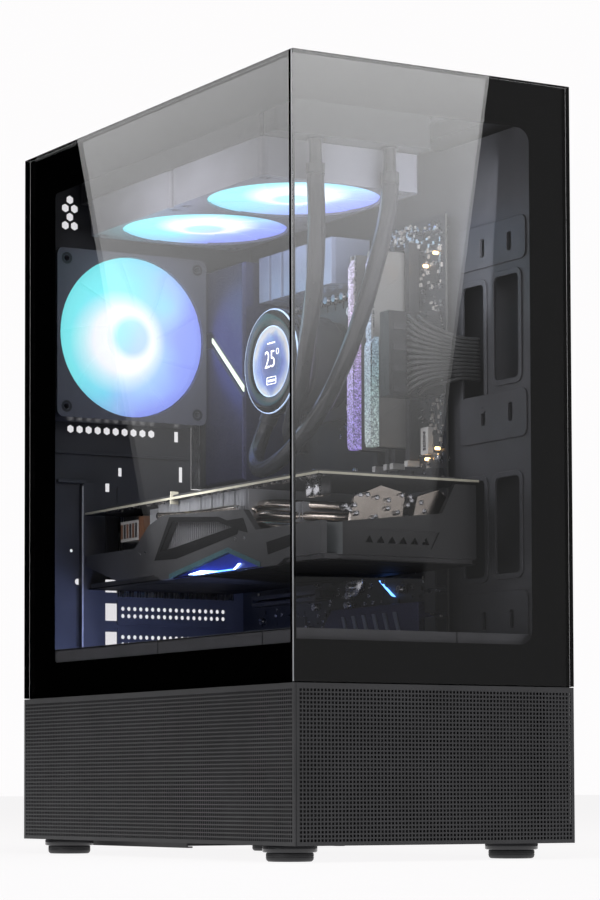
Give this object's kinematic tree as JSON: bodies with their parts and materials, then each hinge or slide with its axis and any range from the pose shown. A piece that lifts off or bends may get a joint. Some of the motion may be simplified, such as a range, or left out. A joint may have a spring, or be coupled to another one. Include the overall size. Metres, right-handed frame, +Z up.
{
  "type": "desktop computer tower",
  "caption": "Pillarless glass desktop computer tower with a perforated base, liquid cooler, lit fans, graphics card and power supply.",
  "frame": {"origin": "on the ground, below the middle of the bounding box", "axes": "+Z up, the glass front faces -Y, the glass side panel faces -X, the ports face +Y"},
  "size_m": [0.205, 0.376, 0.49],
  "materials": {
    "black_steel": "fine black powder coat",
    "mesh_steel": "perforated sheet, black powder coat",
    "tinted_glass": "clear tempered glass with black printed borders",
    "filter_plastic": "woven nylon filter in a plastic frame",
    "foot_rubber": "satin black with a rubber sole",
    "black_plastic": "matte moulded",
    "gloss_black": "polished moulded",
    "lit_rotor": "translucent, lit from the hub",
    "radiator_paint": "black paint on aluminium fins",
    "display_glass": "round lit display under glass",
    "tube_sleeve": "braided sleeve over rubber",
    "circuit_board": "black solder mask with small components",
    "board_armour": "brushed dark anodised",
    "connector_metal": "nickel-plated steel",
    "memory_light": "frosted light bar on a dark heat spreader",
    "cable_black": "sleeved wires",
    "card_metal": "dark anodised plate",
    "fin_aluminium": "stacked bare fins",
    "card_plastic": "moulded shroud",
    "supply_paint": "wrinkled black paint",
    "drive_alloy": "cast and stamped drive shell"
  },
  "bodies": {
    "chassis": {"chassis_floor": "black_steel", "rear_wall": "black_steel", "motherboard_tray": "black_steel", "top_frame": "black_steel", "front_post": "black_steel", "psu_shroud": "black_steel", "side_base_mesh": "mesh_steel", "front_base_mesh": "mesh_steel", "foot_1": "foot_rubber", "foot_2": "foot_rubber", "foot_3": "foot_rubber", "foot_4": "foot_rubber", "control_bezel": "black_plastic", "rear_fan_frame": "black_plastic", "top_fan_frame_1": "black_plastic", "top_fan_frame_2": "black_plastic", "radiator": "radiator_paint", "pump_block": "black_plastic", "pump_display": "display_glass", "coolant_tube_1": "tube_sleeve", "coolant_tube_2": "tube_sleeve", "motherboard": "circuit_board", "port_cover": "board_armour", "port_block": "connector_metal", "regulator_heatsink": "board_armour", "chipset_heatsink": "board_armour", "memory_module_1": "memory_light", "memory_module_2": "memory_light", "board_power_cable": "cable_black", "card_board": "circuit_board", "card_backplate": "card_metal", "card_heatsink": "fin_aluminium", "card_shroud": "card_plastic", "card_bracket": "connector_metal", "slot_cover_1": "black_steel", "slot_cover_2": "black_steel", "slot_cover_3": "black_steel", "slot_cover_4": "black_steel", "slot_screw_cover": "black_steel", "psu_case": "supply_paint", "psu_inlet": "black_plastic", "drive_cage": "black_steel", "hard_drive": "drive_alloy"},
    "side_glass": {"side_glass": "tinted_glass"},
    "front_glass": {"front_glass": "tinted_glass"},
    "right_side_panel": {"right_side_panel": "black_steel", "thumbscrew_1": "black_steel", "thumbscrew_2": "black_steel"},
    "top_dust_filter": {"top_dust_filter": "filter_plastic"},
    "bottom_dust_filter": {"bottom_dust_filter": "filter_plastic"},
    "power_button": {"power_button": "gloss_black"},
    "reset_button": {"reset_button": "gloss_black"},
    "rear_fan_rotor": {"rear_fan_rotor": "lit_rotor"},
    "top_fan_rotor_1": {"top_fan_rotor_1": "lit_rotor"},
    "top_fan_rotor_2": {"top_fan_rotor_2": "lit_rotor"},
    "card_fan_1": {"card_fan_1": "card_plastic"},
    "card_fan_2": {"card_fan_2": "card_plastic"},
    "card_fan_3": {"card_fan_3": "card_plastic"},
    "psu_fan": {"psu_fan": "black_plastic"},
    "psu_switch": {"psu_switch": "gloss_black"}
  },
  "joints": [
    {"name": "rear_fan_spin", "type": "hinge", "parent": "chassis", "child": "rear_fan_rotor", "pos_m": [-0.03, 0.1652, 0.366], "axis": [0, 1, 0], "continuous": true},
    {"name": "top_fan_1_spin", "type": "hinge", "parent": "chassis", "child": "top_fan_rotor_1", "pos_m": [-0.013, -0.04015, 0.4415], "axis": [0, 0, 1], "continuous": true},
    {"name": "top_fan_2_spin", "type": "hinge", "parent": "chassis", "child": "top_fan_rotor_2", "pos_m": [-0.013, 0.08015, 0.4415], "axis": [0, 0, 1], "continuous": true},
    {"name": "card_fan_1_spin", "type": "hinge", "parent": "chassis", "child": "card_fan_1", "pos_m": [0, 0.112, 0.1945], "axis": [0, 0, 1], "continuous": true},
    {"name": "card_fan_2_spin", "type": "hinge", "parent": "chassis", "child": "card_fan_2", "pos_m": [0, 0.017, 0.1945], "axis": [0, 0, 1], "continuous": true},
    {"name": "card_fan_3_spin", "type": "hinge", "parent": "chassis", "child": "card_fan_3", "pos_m": [0, -0.078, 0.1945], "axis": [0, 0, 1], "continuous": true},
    {"name": "psu_fan_spin", "type": "hinge", "parent": "chassis", "child": "psu_fan", "pos_m": [-0.001, 0.112, 0.024], "axis": [0, 0, 1], "continuous": true},
    {"name": "power_button_press", "type": "slide", "parent": "chassis", "child": "power_button", "axis": [0, 0, -1], "range_m": [0, 0.0015], "stiffness_N_per_m": 400},
    {"name": "reset_button_press", "type": "slide", "parent": "chassis", "child": "reset_button", "axis": [0, 0, -1], "range_m": [0, 0.001], "stiffness_N_per_m": 400},
    {"name": "psu_switch_rock", "type": "hinge", "parent": "chassis", "child": "psu_switch", "pos_m": [0.052, 0.1787, 0.074], "axis": [1, 0, 0], "range_deg": [0, 14]},
    {"name": "side_glass_pull", "type": "slide", "parent": "chassis", "child": "side_glass", "axis": [-1, 0, 0], "range_m": [0, 0.03]},
    {"name": "front_glass_pull", "type": "slide", "parent": "chassis", "child": "front_glass", "axis": [0, -1, 0], "range_m": [0, 0.03]},
    {"name": "right_panel_slide", "type": "slide", "parent": "chassis", "child": "right_side_panel", "axis": [0, 1, 0], "range_m": [0, 0.02]},
    {"name": "top_filter_lift", "type": "slide", "parent": "chassis", "child": "top_dust_filter", "axis": [0, 0, 1], "range_m": [0, 0.04]},
    {"name": "bottom_filter_slide", "type": "slide", "parent": "chassis", "child": "bottom_dust_filter", "axis": [0, 1, 0], "range_m": [0, 0.15]}
  ]
}
